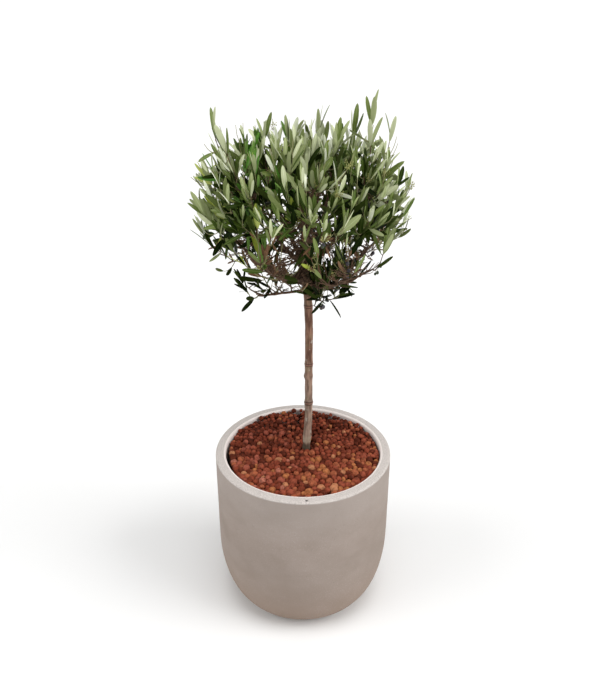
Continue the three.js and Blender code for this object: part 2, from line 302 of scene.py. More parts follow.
def planterOutline():
    radius, height, edge = planter["radius"], planter["height"], planter["rimEdge"]
    inner = radius - planter["wall"]
    outline = [(share * planter["baseRadius"], 0) for share in (0.3, 0.6, 0.85, 0.97)]
    outline += footOutline(radius, planter["baseRadius"], 0, 40)
    outline += [(radius, level) for level in np.linspace(planter["shoulder"], height - edge, 26)[1:-1]]
    for centre, start in ((radius - edge, 0), (inner + edge, math.pi / 2)):
        for angle in np.linspace(start, start + math.pi / 2, 7):
            outline.append((centre + edge * math.cos(angle), height + edge * (math.sin(angle) - 1)))
        if start == 0:
            outline += [(across, height) for across in np.linspace(radius - edge, inner + edge, 16)[1:-1]]
    outline += [(inner, level) for level in np.linspace(height - edge, planter["shoulder"], 20)[1:-1]]
    outline += footOutline(inner, planter["baseRadius"] - planter["wall"], planter["floor"], 12)[::-1]
    return np.array(outline)


def lathe(outline, angles):
    # turned about the upright axis and closed at both ends by a point on it
    count = len(angles)
    turn = np.stack([np.cos(angles), np.sin(angles)], -1)
    rings = np.concatenate([outline[:, None, :1] * turn, np.repeat(outline[:, None, 1:], count, 1)], -1)
    points = np.vstack([rings.reshape(-1, 3), [0, 0, outline[0, 1]], [0, 0, outline[-1, 1]]])
    first = np.arange(count)
    second, top = (first + 1) % count, (len(outline) - 1) * count
    low, high = np.full(count, len(points) - 2), np.full(count, len(points) - 1)
    lids = [np.stack([low, second, first], -1), np.stack([high, top + first, top + second], -1)]
    return points, np.vstack([ringWall(len(outline), count), *lids])


def castStone():
    made = Finish("cast_stone")
    rim, bore = planter["height"] * millimetre, (planter["radius"] - planter["wall"]) * millimetre
    x, y, reach = (size * millimetre for size in (*planter["pit"], planter["pitRadius"]))
    height = made.measure("Z")
    mottle = made.noise(7, 6, rough=0.62)
    bands = made.noise(9, 4, stretch=(1, 1, 2.2))
    sand = made.noise(620, 3, rough=0.7)
    share = mottle.above(0.3, 0.4) * 0.42 + bands.above(0.35, 0.35) * 0.33 + (sand - 0.5) * 0.9 + 0.1
    # browner and darker towards the foot of the planter
    lowBrown = 1 - (height + mottle * 0.05).above(0.03, 0.2)
    # the rim's top is paler: partly real wear, partly painted light where its top face catches the lamps
    litAndWornRim = made.blend(sand.above(0.38, 0.22), (0.40, 0.365, 0.34), planter["rimStoneLitAndWorn"])
    inside = (1 - made.away(0, 0).above(bore + 0.004, 0.002)) * height.above(rim - 0.062, 0.02)
    specks = (1 - made.spots(340).above(0.10, 0.12)) * mottle.above(0.35, 0.3)
    holes = (1 - made.spots(150).above(0.07, 0.07)) * made.noise(40, 2).above(0.45, 0.12)
    # painted shade: the air hole in the rim is painted near black, for the shade in its depth
    pit = 1 - (made.away(x, y) + sand * 0.0014).above(reach - 0.0005, 0.0012)
    body = made.layers(made.blend(share, planter["stoneDark"], planter["stone"]),
                       (height.above(0.25, 0.14) * 0.3, (0.42, 0.38, 0.355)),
                       (lowBrown * 0.65, (0.27, 0.19, 0.14)),
                       (height.above(rim - 0.006, 0.004) * 0.85, litAndWornRim),
                       (inside, planter["innerStone"]),
                       (specks * 0.5, (0.62, 0.58, 0.55)),
                       (holes * 0.7, (0.17, 0.14, 0.12)),
                       (pit * height.above(rim - 0.012, 0.004) * 0.95, (0.035, 0.028, 0.024)))
    made.feed({"base": body, "roughness": 0.78 + sand * 0.2, "specular": 0.25,
               "normal": made.relief(sand * 0.7 + mottle * 0.8 - holes * 1.5, 0.001, 0.7)})
    return made


def makePlanter():
    x, y = planter["pit"]
    around = math.atan2(y, x)
    even = np.linspace(0, 2 * math.pi, planter["segments"], endpoint=False) - math.pi / 2
    close = around + np.linspace(-planter["pitSpan"], planter["pitSpan"], planter["pitSegments"])
    angles = np.unique(np.concatenate([even[np.abs(even - around) > planter["pitSpan"] * 1.125], close]))
    points, triangles = lathe(planterOutline(), angles)
    outside, onRim = points[:, 2] > 1, points[:, 2] > planter["height"] - 6
    uneven = grain(points, 120, 1) * planter["unevenness"] + grain(points, 26, 2) * 0.22
    points[:, :2] += unit(points[:, :2]) * (uneven * outside)[:, None]
    points[:, 2] += onRim * grain(points, 55, 3) * 0.5
    away = np.hypot(points[:, 0] - x, points[:, 1] - y) / planter["pitRadius"]
    points[:, 2] -= planter["pitDepth"] * np.exp(-away**4) * (points[:, 2] > planter["height"] - 3)
    dress(addPiece("planter_wall", points, triangles, 0, [castStone()]), ["planter"])


# growing medium and clay pebbles

bed = {
    "seed": 4, "edgeDrop": 11, "middleRise": 3,
    "heapBearing": 95, "heapSpread": 62, "heapRise": 9,  # the pebbles lie a little higher at the back
    "reach": 177.5, "radius": (4.7, 9.7), "frontGrowth": 0.27,  # the larger ones lie in front
    "top": 715, "below": 560, "belowDrop": 9,
    "rounds": 160, "nudge": 0.32,  # how often and how far overlapping pebbles are pushed apart
    "stem": (8.0, 0.0), "stemRoom": 7.5,  # where the trunk stands and the room it keeps
    "gaps": ((-166, 26, 9.0), (8, 20, 4.0), (62, 16, 5.0)),  # bearing, spread and width, at the wall
    "sunk": 0.55, "unrest": 2.1,  # how deep a pebble sits, as a share of its size, and how much that varies
    "clay": 2.1, "paintedFrontLight": 1.3, "variety": 1.7,  # the usual clay; paler clays towards the front as painted light and darker ones at the back as painted shade under the crown; and the variety
    # from the darkest clay to the palest, and two rosy ones for one side
    "clays": ((0.11, 0.021, 0.009), (0.17, 0.034, 0.015), (0.25, 0.052, 0.025), (0.30, 0.070, 0.036),
              (0.37, 0.104, 0.047), (0.44, 0.152, 0.056), (0.48, 0.195, 0.094)),
    "rosy": ((0.34, 0.088, 0.053), (0.44, 0.148, 0.096)), "rosyShare": 0.6,
}


def bedLevel(x, y):
    # a low mound, highest beside the trunk, that rises a little again at the back
    share = clamp(math.hypot(x, y) / (planter["radius"] - planter["wall"]))
    heap = share**3 * bump(math.degrees(math.atan2(y, x)), bed["heapBearing"], bed["heapSpread"])
    return planter["height"] + mix(bed["middleRise"], -bed["edgeDrop"], share**2) + bed["heapRise"] * heap


def spreadPebbles(draw, count, squeeze):
    # circles pushed apart until they fill the round bed, as x, y and radius
    small, large = bed["radius"]
    size = small + (large - small) * draw.beta(1.6, 3.2, count)
    bearing = np.arange(count) * goldenTurn + draw.uniform(-0.2, 0.2, count)
    out = bed["reach"] * np.sqrt((np.arange(count) + 0.5) / count)
    x, y = out * np.cos(bearing), out * np.sin(bearing)
    size *= 1 - bed["frontGrowth"] * y / bed["reach"]
    stemX, stemY = bed["stem"]
    for _ in range(bed["rounds"]):
        apartX, apartY = x[:, None] - x, y[:, None] - y
        away = np.hypot(apartX, apartY) + np.eye(count) * 1e6 + 1e-6
        push = np.maximum((size[:, None] + size) * squeeze - away, 0) * bed["nudge"] / away
        x, y = x + (apartX * push).sum(1), y + (apartY * push).sum(1)
        bearing, out = np.arctan2(y, x), np.hypot(x, y)
        room = np.full(count, float(bed["reach"]))
        for middle, spread, width in bed["gaps"]:
            turn = (np.degrees(bearing) - middle + 180) % 360 - 180
            room -= width * bump(turn, 0, spread)
        inside = np.minimum(out, room - size) / np.maximum(out, 1e-6)
        x, y = x * inside, y * inside
        fromStem = np.hypot(x - stemX, y - stemY)
        clear = np.maximum(size * 0.8 + bed["stemRoom"], fromStem) / np.maximum(fromStem, 1e-6)
        x, y = stemX + (x - stemX) * clear, stemY + (y - stemY) * clear
    return x, y, size


def firedClay(index):
    made = Finish(f"fired_clay_{index}")
    base = (*bed["clays"], *bed["rosy"])[index]
    dark = tuple(part * 0.45 for part in base)
    pale = tuple(min(part * 1.4 + 0.05, 1) for part in base)
    mottle = made.noise(150, 4)
    pores = 1 - made.spots(900).above(0.12, 0.16)
    colour = made.layers(dark, (mottle.above(0.28, 0.34), base),
                         (made.noise(420, 3).above(0.56, 0.2) * 0.5, pale), (pores * 0.5, dark))
    made.feed({"base": colour, "roughness": 0.5 + mottle * 0.4, "specular": 0.09,
               "normal": made.relief(made.noise(700, 3) - pores * 0.6, 0.0006, 0.7)})
    return made


def makePebbles():
    draw = np.random.default_rng(bed["seed"])
    palest = len(bed["clays"]) - 1
    finishes = [firedClay(i) for i in range(palest + 1 + len(bed["rosy"]))]
    for level, count, squeeze, drop, steps in (("top", bed["top"], 1.0, 0, 3),
                                               ("below", bed["below"], 0.98, bed["belowDrop"], 2)):
        shape, faces = ball(steps)
        heaps = {"front": Heap(), "back": Heap()}
        for i, (x, y, size) in enumerate(zip(*spreadPebbles(draw, count, squeeze))):
            swell = 1 + 0.13 * grain(shape, 1.1, i * 0.37 + drop) + 0.045 * grain(shape, 0.45, i * 0.71)
            turn = np.linalg.qr(draw.normal(size=(3, 3)))[0]
            turn *= np.sign(np.linalg.det(turn))
            lumps = (shape * swell[:, None] * draw.uniform(0.86, 1.1, 3)) @ turn
            centre = (x, y, bedLevel(x, y) - size * bed["sunk"] + draw.normal() * bed["unrest"] - drop)
            # painted light and shade: paler clays towards the front, darker towards the back under the crown
            kind = bed["clay"] - bed["paintedFrontLight"] * y / bed["reach"] + bed["variety"] * draw.normal()
            kind = int(round(clamp(kind, 0, palest)))
            if draw.random() < -bed["rosyShare"] * x / bed["reach"] and kind > 2:
                kind = palest + (1 if kind < 5 else 2)
            heap = heaps["front" if y < 0 else "back"]
            # painted shade: the pebbles below take darker clays, for the shade in the gaps between the top
            # ones
            heap.add(lumps * size + centre, faces, kind if drop == 0 else kind // 3)
        for side, heap in heaps.items():
            piece = addPiece(f"clay_pebbles_{level}_{side}", *heap.joined(), finishes)
            dress(piece, ["clay_pebbles"])


def moistMedium():
    made = Finish("moist_medium", roughness=0.95, specular=0.2)
    crumbs = made.noise(190, 6, rough=0.7)
    fibres = made.noise(60, 3, stretch=(1, 6, 1))
    stops = ((0.3, (0.012, 0.008, 0.006)), (0.5, (0.045, 0.028, 0.018)), (0.72, (0.11, 0.072, 0.045)))
    colour = made.node("ShaderNodeValToRGB", {"stops": stops}, {0: crumbs})
    made.feed({"base": made.blend(fibres.above(0.6, 0.1) * 0.4, colour, (0.16, 0.105, 0.062)),
               "normal": made.relief(crumbs, 0.004)})
    return made


# trunk and limbs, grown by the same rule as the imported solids

tree = {
    "seed": 11,
    "foot": 351.3, "tip": 872,
    "lean": ((351, 4), (405, 8), (478, 12), (611, 12), (700, 12), (770, 9), (820, 4), (872, 0)),  # height, x
    "rootRadius": 13, "stemRadius": 8, "headRadius": 11.5, "headHeight": 826, "headSpread": 30,
    # height and swell of the old leaf joints
    "rings": ((404, -0.9), (424, 0.95), (436, 0.8), (516, 1.7), (582, 0.9), (611, 1.1), (748, 1.2)),
    "ringSpread": 5, "bulge": 582,
    "turnSpread": 14, "slopeSpread": 12,  # degrees by which the limbs of a whorl stray
    "gap": 0.3,
    "boughEnd": 0.62, "stemEnd": 1.55,  # a bough's end as a share of its radius, a stem's as a radius
    "kink": 2.6, "kinkSize": 26,
    "stubs": 9, "stubLength": (3, 20),  # old pruning cuts on a main limb
    "knots": 14, "knotHeights": (788, 874), "knotOut": (8, 15), "knotRadius": (5, 9),  # the swollen head
    "voxel": 1.09, "fill": 0.55,  # how fine the skin is, and what gives back what its smoothing takes
    "redFrom": 560, "oldFrom": 775,  # heights from which the bark is redder and older
    "callus": (409, 432), "shadedSideEdge": 5.5,  # a pale band above the foot, which is painted dark as shade, and the edge of the painted shade on the left side
    "trunkReach": 12.5, "boughsFrom": 800,  # within this reach and below this height the bark is the trunk's
}

crown = {
    "x": -4, "middle": 940,
    "twigSpace": {"radius": 186, "rise": 130, "fall": 138},
    "leafSpace": {"radius": 218, "rise": 178, "fall": 172},
    "riseCurve": 3.2, "fallCurve": 2.0, "tips": 112, "hollow": 0.56,
}

whorls = (  # name, count, bearing, height, stagger, slope, lift, lengths of bough and stem, radius
    ("low", 5, 20, 797, 13, 5, 0.55, 94, 92, 4.8),
    ("high", 5, 56, 834, 14, 40, 0.6, 92, 116, 4.6),
    ("top", 1, 80, 872.3, 0, 84, 0, 56, 104, 5.2),
    ("left_spray", 1, 196, 784, 0, -4, 0.1, 58, 46, 2.9),
    ("right_spray", 1, 330, 782, 0, 16, 0.3, 92, 74, 3.0),
    ("front_spray", 1, 302, 767, 0, 30, -0.3, 42, 34, 2.8),
)

leaders = np.array([
    (-168, -8, 1078), (124, -44, 1108), (166, 20, 1064), (96, 40, 1090), (-140, -60, 1050),
    (160, -60, 960), (152, -80, 890), (-112, -50, 800), (32, -78, 796), (62, -56, 790),
    (-76, 30, 1082), (-28, -30, 1090), (30, 40, 1098), (62, -30, 1086), (-186, -70, 960)], float)

sideShoots = np.array([  # finer leafy twigs that fill the sides and hang under the crown
    (-190, 10, 1012), (-200, -14, 958), (-197, -20, 908), (-188, 30, 866), (-176, -44, 1046),
    (-186, 40, 985), (-160, -30, 836), (48, -70, 812), (20, -62, 806), (84, -46, 815),
    (40, -84, 826), (204, 4, 912), (196, -30, 1004), (66, -86, 838), (34, -50, 798),
    (72, -66, 802), (-88, -50, 812), (-62, -42, 818), (-122, -34, 812), (30, -62, 850),
    (60, -76, 860), (86, -60, 846), (46, -84, 844), (76, -88, 868), (104, -66, 852)], float)

hanging = np.array([  # leafy twigs below the crown, beside the trunk, their leaves painted dark as the crown's shade
    (24, -70, 832), (40, -58, 836), (56, -56, 842), (70, -74, 836), (54, -92, 848),
    (88, -78, 842), (34, -88, 858), (20, -50, 818), (62, -64, 822), (44, -78, 826)], float)

strays = np.array([  # slender shoots that stand out of the crown, leafless up to their tips
    (-216, -12, 1020), (-192, -36, 1060), (208, -24, 1014),
    (214, 0, 936), (184, 46, 1072), (-96, 90, 1100)], float)


def chance(*keys):
    # a repeatable number from 0 to 1 for a set of whole numbers
    bits = tree["seed"]
    for key in keys:
        bits = ((bits ^ (key + 1)) * 0x9E3779B1) & 0xFFFFFFFF
        bits ^= bits >> 15
        bits = (bits * 0x85EBCA6B) & 0xFFFFFFFF
        bits ^= bits >> 13
    return bits / 2**32


def trunkMiddle(height):
    levels, lean = np.array(tree["lean"], float).T
    span = clamp(int(np.searchsorted(levels, height)) - 1, 0, len(levels) - 2)
    ends = [2 * lean[0] - lean[1], *lean, 2 * lean[-1] - lean[-2]]
    share = (height - levels[span]) / (levels[span + 1] - levels[span])
    return np.array([spline(*ends[span:span + 4], share), 0, height])


def trunkRadius(height):
    stem = tree["stemRadius"]
    flare = (tree["rootRadius"] - stem) * math.exp(-(height - tree["foot"]) / 26)
    head = (tree["headRadius"] - stem) * bump(height, tree["headHeight"], tree["headSpread"])
    swells = sum(by * bump(height, at, tree["ringSpread"]) for at, by in tree["rings"])
    return stem + flare + head + swells


def grow(start, heading, length, lift, steps):
    # sets out along heading and turns skywards
    points = [np.array(start, float)]
    direction = unit(np.array(heading, float))
    for _ in range(steps):
        points.append(points[-1] + direction * length / steps)
        direction = unit(direction + np.array([0, 0, lift / steps]))
    return np.array(points)


def planLimbs():
    limbs = []
    for w, whorl in enumerate(whorls):
        family, count, bearing, height, stagger, slope, lift, length, stemLength, radius = whorl
        for i in range(count):
            aside, up = (chance(k, w, i) - 0.5 if count > 1 else 0 for k in (5, 6))
            turn = math.radians(bearing + (360 / count) * i + tree["turnSpread"] * aside)
            rise = math.radians(slope + tree["slopeSpread"] * up)
            heading = (math.cos(turn) * math.cos(rise), math.sin(turn) * math.cos(rise), math.sin(rise))
            bough = grow(trunkMiddle(height + stagger * (i % 2)), heading, length, lift, 5)
            onwards = unit(bough[-1] - bough[-2])
            stem = grow(bough[-1] + onwards * tree["gap"], onwards, stemLength, lift * 0.8, 3)
            limbs.append({"family": family, "key": w * 10 + i, "radius": radius, "bough": bough, "stem": stem,
                          "centre": pointAlong(stem, 0.6)[0]})
    return limbs


def pointAlong(points, share):
    place = min(share, 0.9999) * (len(points) - 1)
    i = int(place)
    direction = points[i + 1] - points[i]
    return points[i] + direction * (place - i), unit(direction)


def limbLine(limb):
    # the middle line and radii of a bough and the stem that goes on from it, with a few kinks
    line = smoothLine(np.vstack([limb["bough"], limb["stem"][1:]]), 10)
    share = np.linspace(0, 1, len(line))
    boughShare = len(limb["bough"]) / (len(limb["bough"]) + len(limb["stem"]) - 1)
    thick, thin = limb["radius"], limb["radius"] * tree["boughEnd"]
    radii = np.where(share < boughShare, mix(thick, thin, share / boughShare),
                     mix(thin, tree["stemEnd"], (share - boughShare) / (1 - boughShare)))
    kinks = wiggles(line, tree["kinkSize"], limb["key"] * 1.7)
    line = line + kinks * (tree["kink"] * np.minimum(1, 4 * share))[:, None]
    return line, radii * (1 + 0.16 * grain(line, 11, limb["key"] * 2.3))


def pruningStub(start, radius, keys):
    # the short end of a twig that was cut off
    out = unit(towards(2 * math.pi * chance(71, *keys), 0.5 * chance(72, *keys)))
    way = out * np.linspace(0, radius + mix(*tree["stubLength"], chance(73, *keys) ** 2), 4)[:, None]
    line = start + way + (0, 0, 2.5) * np.linspace(0, 1, 4)[:, None] ** 2
    return tube(line, np.array([1.2, 1.0, 0.9, 0.75]) * max(radius * 0.62, 1.6), 8)


def rawWood(limbs):
    heap = Heap()
    heights = np.linspace(tree["foot"], tree["tip"], 170)
    trunkLine = np.array([trunkMiddle(height) for height in heights])
    heap.add(*tube(trunkLine, [trunkRadius(height) for height in heights], 32))
    for limb in limbs:
        line, radii = limbLine(limb)
        heap.add(*tube(line, radii, 14))
        for n in range(tree["stubs"] if limb["family"] in ("low", "high") else 1):
            i = int(len(line) * mix(0.12, 0.75, chance(70, limb["key"], n)))
            heap.add(*pruningStub(line[i], radii[i], (limb["key"], n)))
    shape, faces = ball(3)
    for n in range(tree["knots"]):
        middle = trunkMiddle(mix(*tree["knotHeights"], (n + 0.5) / tree["knots"]))
        centre = middle + mix(*tree["knotOut"], chance(75, n)) * towards(n * goldenTurn)
        heap.add(shape * mix(*tree["knotRadius"], chance(74, n)) + centre, faces)
    return heap


def jointLines():
    # height and swell of the clear old leaf joints, with the dark lines above and below each
    return [(at, by, (at - 1.6 - 0.8 * by, at + 1.6 + 0.8 * by)) for at, by in tree["rings"] if by > 1]


def barkRelief(points):
    # how far the bark stands out at each point: cracks along the trunk, grooves at the old joints and lumps
    aside = points - [trunkMiddle(clamp(height, tree["foot"], tree["tip"])) for height in points[:, 2]]
    turn, height = unit(aside[:, :2]), points[:, 2:3]
    onTrunk = np.hypot(aside[:, 0], aside[:, 1]) < tree["trunkReach"]
    onTrunk &= points[:, 2] < tree["boughsFrom"]
    cracks = grain(np.hstack([turn * 2.6, height / 30]), 1.0, 1)
    fine = grain(np.hstack([turn * 7, height / 11]), 1.0, 2)
    lumps = grain(points, 24, 3)
    trunkPart = 0.42 * cracks - 0.3 * np.maximum(0, fine) ** 2 + 0.2 * fine + 0.55 * lumps
    for _, _, edges in jointLines():
        for edge in edges:
            trunkPart -= 0.55 * bump(points[:, 2] + 0.8 * lumps, edge, 0.8)
    bulge = bump(points[:, 2], tree["bulge"], 6) * np.maximum(0, -turn[:, 0]) ** 2
    limbPart = 0.5 * grain(points, 8, 4) + 0.22 * grain(points, 3.2, 5)
    return np.where(onTrunk, trunkPart + 1.5 * bulge, limbPart)


def oliveBark():
    made = Finish("olive_bark", specular=0.3)
    redFrom, oldFrom, darkSide = (tree[name] * millimetre for name in ("redFrom", "oldFrom", "shadedSideEdge"))
    low, top = (level * millimetre for level in tree["callus"])
    height = made.measure("Z")
    streaks = made.noise(170, 5, stretch=(1, 1, 0.16), rough=0.62)
    blotches = made.noise(38, 4)
    lower = made.blend(streaks.above(0.36, 0.26), (0.135, 0.085, 0.062), (0.36, 0.25, 0.19))
    upper = made.blend(streaks.above(0.36, 0.28), (0.10, 0.046, 0.029), (0.27, 0.148, 0.098))
    old = made.blend(streaks.above(0.36, 0.3), (0.040, 0.022, 0.013), (0.165, 0.096, 0.062))
    lichen = made.noise(95, 3).above(0.6, 0.07) * blotches.above(0.45, 0.15)
    green = made.noise(60, 3).above(0.52, 0.16) * (1 - height.above(0.70, 0.14))
    colour = made.layers(lower, ((height + blotches * 0.12).above(redFrom, 0.18), upper),
                         ((height + blotches * 0.03).above(oldFrom, 0.04), old),
                         (lichen * 0.6, (0.43, 0.40, 0.34)), (green * 0.22, (0.20, 0.21, 0.10)))
    ragged = height + blotches * 0.004 - 0.002
    for at, by, edges in jointLines():
        for edge in edges:
            line = (ragged - edge * millimetre) / (0.0011 * by)
            colour = made.blend((1 - (line * line).above(0.1, 1.4)) * 0.85, colour, (0.05, 0.022, 0.016))
        between = (ragged - at * millimetre) / 0.0016
        colour = made.blend((1 - (between * between).above(0.2, 1.2)) * 0.5, colour, (0.24, 0.10, 0.07))
    # painted shade: the left side of the trunk is painted darker, up to below its head
    leftShade = 1 - (made.measure("X") + streaks * 0.003).above(darkSide, 0.003)
    callus = height.above(low, 0.008) * (1 - (height + streaks * 0.02).above(top, 0.016))
    # painted shade: the trunk is painted dark below the pale band, where it goes down among the pebbles
    foot = 1 - (height + blotches * 0.012).above(low, 0.01)
    colour = made.layers(colour, (leftShade * (1 - height.above(0.75, 0.04)) * 0.5, (0.085, 0.062, 0.045)),
                         (callus * 0.55, (0.47, 0.385, 0.29)), (foot * 0.85, (0.06, 0.045, 0.028)))
    made.feed({"base": colour, "roughness": 0.8 + streaks * 0.15,
               "normal": made.relief(streaks + made.noise(600, 3) * 0.5, 0.0008, 0.7)})
    return made


def makeWood(limbs):
    # the trunk and limbs under one skin, with the bark's relief worked into it
    points, triangles, _ = rawWood(limbs).joined()
    piece = addPiece("bark", points, triangles, 0, [oliveBark()])
    remesh = piece.modifiers.new("skin", "REMESH")
    remesh.mode = "VOXEL"
    remesh.voxel_size = tree["voxel"] * millimetre
    remesh.use_smooth_shade = True
    soften = piece.modifiers.new("soften", "SMOOTH")
    soften.factor = 0.5
    soften.iterations = 3
    skinned = bpy.data.meshes.new_from_object(piece.evaluated_get(bpy.context.evaluated_depsgraph_get()))
    piece.modifiers.clear()
    raw, piece.data = piece.data, skinned
    bpy.data.meshes.remove(raw)
    skinned.name = "bark"
    skin = np.empty(len(skinned.vertices) * 3)
    skinned.vertices.foreach_get("co", skin)
    skin = skin.reshape(-1, 3) / millimetre
    outwards = np.array([normal.vector[:] for normal in skinned.vertex_normals])
    skin += outwards * (barkRelief(skin) + tree["fill"])[:, None]
    skin[:, 2] = np.maximum(skin[:, 2], tree["foot"])
    skinned.vertices.foreach_set("co", (skin * millimetre).ravel())
    skinned.update()
    skinned.shade_smooth()
    dress(piece, ["trunk", *boughNodes])


# twigs

twigs = {
    "fineTips": 330,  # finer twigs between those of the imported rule
    "reachOut": 1.07,  # how far past the main twigs' space they may end
    "openFrom": 915, "openTo": 810,  # the crown opens below the first height and is barest below the second
    "frontOpening": 60,  # how much higher it opens at its front
    "uprights": 44, "uprightHeight": (1058, 1118), "uprightReach": 196,
    "sag": 0.2, "leaderSag": 0.32, "wiggle": 3.0, "wiggleSize": 15,
    "tallRise": 24, "tallFrom": 1045, "tallBeyond": 110,  # leaders high up at the sides grow on by this
    "mainRadius": (1.5, 0.75), "fineRadius": (0.95, 0.55),
    "bare": {"low": 40, "high": 27, "top": 12, "left_spray": 8},  # leafless twigs on a limb
    "bareLength": (14, 54), "bareRadius": (1.4, 2.8), "bareForks": 3,
    "oldWood": (0.125, 0.072, 0.043), "greenWood": (0.24, 0.225, 0.105),
}


def outwardness(points, space):
    rise = points[..., 2] - crown["middle"]
    share = np.abs(rise) / np.where(rise > 0, crown[space]["rise"], crown[space]["fall"])
    out = np.hypot(points[..., 0] - crown["x"], points[..., 1]) / crown[space]["radius"]
    curve = np.where(rise > 0, crown["riseCurve"], crown["fallCurve"])
    return (out**curve + share**curve) ** (1 / curve)


def spreadTips(count, start=0, most=1.0):
    # places spread evenly through the leafy part of the crown
    tips = []
    space = crown["twigSpace"]
    half = np.array([space["radius"], space["radius"], max(space["rise"], space["fall"])], float) * most
    i = start
    while len(tips) < count:
        at = np.array([2 * ((0.5 + step * i) % 1) - 1 for step in (0.819173, 0.671044, 0.549700)])
        tip = at * half + (crown["x"], 0, crown["middle"])
        if crown["hollow"] < outwardness(tip, "twigSpace") < most:
            tips.append(tip)
        i += 1
    return tips


def bareness(point):
    # 0 in the leafy crown, 1 in its open underside
    opens = twigs["openFrom"] + twigs["frontOpening"] * clamp(-point[1] / crown["leafSpace"]["radius"])
    return clamp((opens - point[2]) / (twigs["openFrom"] - twigs["openTo"]))


def fineTips():
    # the finer twigs' tips, fewer towards the foot of the crown, then upright shoots over its flat top
    spread = spreadTips(twigs["fineTips"], 1000, twigs["reachOut"])
    tips = [tip for n, tip in enumerate(spread) if chance(90, n) < 1 - 0.85 * bareness(tip)]
    for n in range(twigs["uprights"]):
        out = twigs["uprightReach"] * math.sqrt((n + 0.5) / twigs["uprights"])
        height = mix(*twigs["uprightHeight"], chance(91, n)) - 14 * (out / twigs["uprightReach"]) ** 3
        tips.append(out * towards(n * goldenTurn) + (crown["x"], 0, height))
    return tips


def reach(shoots, tip, sag):
    # the line of a twig to a tip from the best placed point of the shoots it may leave
    least = math.inf
    for shoot in shoots:
        for step in range(1, 24, 2):
            root, direction = pointAlong(shoot, step / 24)
            length = np.linalg.norm(tip - root)
            cost = length * (1.7 - (tip - root) @ direction / length)
            if cost < least:
                least, start, far = cost, root, length
    middle = start + (tip - start) * 0.5 - (0, 0, sag * far)
    share = np.linspace(0, 1, 9)[:, None]
    early, late = (share - 0.5) * (share - 1), share * (share - 0.5)
    return start * 2 * early - middle * 4 * share * (share - 1) + tip * 2 * late


def habitOf(key, count):
    # leaders and side shoots are full of leaves, strays leafless up to their tips, and the last ones hang
    firstSide = len(leaders) + crown["tips"]
    firstStray = firstSide + len(sideShoots)
    if key < len(leaders) or firstSide <= key < firstStray:
        return "full"
    if firstStray <= key < firstStray + len(strays):
        return "stray"
    return "hanging" if key >= count - len(hanging) else "plain"


def growTwigs(limbs):
    # every leafy shoot: its line, key, rank (0 stem, 1 twig, 2 finer twig), limb and habit
    centres = np.array([limb["centre"] for limb in limbs])
    shoots = [{"line": smoothLine(limb["stem"], 5), "key": 500 + limb["key"], "rank": 0, "limb": limb,
               "habit": "plain"} for limb in limbs]
    tips = [*leaders, *spreadTips(crown["tips"]), *sideShoots, *strays, *fineTips(), *hanging]
    for key, tip in enumerate(tips):
        leader = key < len(leaders)
        limb = limbs[int(np.argmin(np.linalg.norm(centres - tip, axis=1)))]
        rank = 1 if key < len(leaders) + crown["tips"] else 2
        own = [shoot["line"] for shoot in shoots if shoot["limb"] is limb and shoot["rank"] < rank]
        upright = leader or tip[2] > twigs["uprightHeight"][0] - 15
        if leader and tip[2] > twigs["tallFrom"] and abs(tip[0]) > twigs["tallBeyond"]:
            tip = tip + (0, 0, twigs["tallRise"])
        line = reach(own, tip, twigs["leaderSag" if upright else "sag"])
        arch = np.sin(np.linspace(0, 1, len(line))[:, None] * math.pi * 0.9)
        bends = wiggles(line, twigs["wiggleSize"], key * 0.77) * twigs["wiggle"] * arch
        line = line + bends * min(1, np.linalg.norm(tip - line[0]) / 60)
        shoots.append({"line": line, "key": key if rank == 1 else 1000 + key, "rank": rank, "limb": limb,
                       "habit": habitOf(key, len(tips))})
    return shoots


def bareTwig(start, length, keys):
    # a crooked leafless twig
    turn = 2 * math.pi * chance(*keys)
    line = smoothLine(grow(start, towards(turn, mix(-0.35, 1.0, chance(*keys, 1))), length, 0.7, 3), 3)
    return line + wiggles(line, 9, 5 * turn) * np.linspace(0, 4, len(line))[:, None]


def makeTwigs(shoots, limbs):
    heap = Heap()
    for shoot in shoots:
        if shoot["rank"]:
            main = shoot["rank"] == 1
            radii = np.linspace(*twigs["mainRadius" if main else "fineRadius"], len(shoot["line"]))
            old = main and chance(61, shoot["key"]) < 0.75
            heap.add(*tube(shoot["line"], radii, 6 if main else 5), 0 if old else 1)
    for limb in limbs:
        line, _ = limbLine(limb)
        for n in range(twigs["bare"].get(limb["family"], 2)):
            keys = (limb["key"], n)
            start = line[int(len(line) * mix(0.15, 0.97, chance(80, *keys)))]
            length = mix(*twigs["bareLength"], chance(83, *keys))
            main = bareTwig(start, length, (81, *keys))
            for side in range(twigs["bareForks"]):
                fork, _ = pointAlong(main, mix(0.3, 0.9, chance(84, *keys, side)))
                branch = bareTwig(fork, length * 0.5, (85, *keys, side))
                heap.add(*tube(branch, np.linspace(1.15, 0.5, 10), 4))
            foot = mix(*twigs["bareRadius"], chance(86, *keys))
            heap.add(*tube(main, np.linspace(foot, 0.7, 10), 5))
    finishes = [Finish("twig_bark", base=twigs["oldWood"], roughness=0.85, specular=0.3),
                Finish("green_twig", base=twigs["greenWood"], roughness=0.6, specular=0.3)]
    dress(addPiece("twigs", *heap.joined(), finishes), foliageNodes)


# leaves

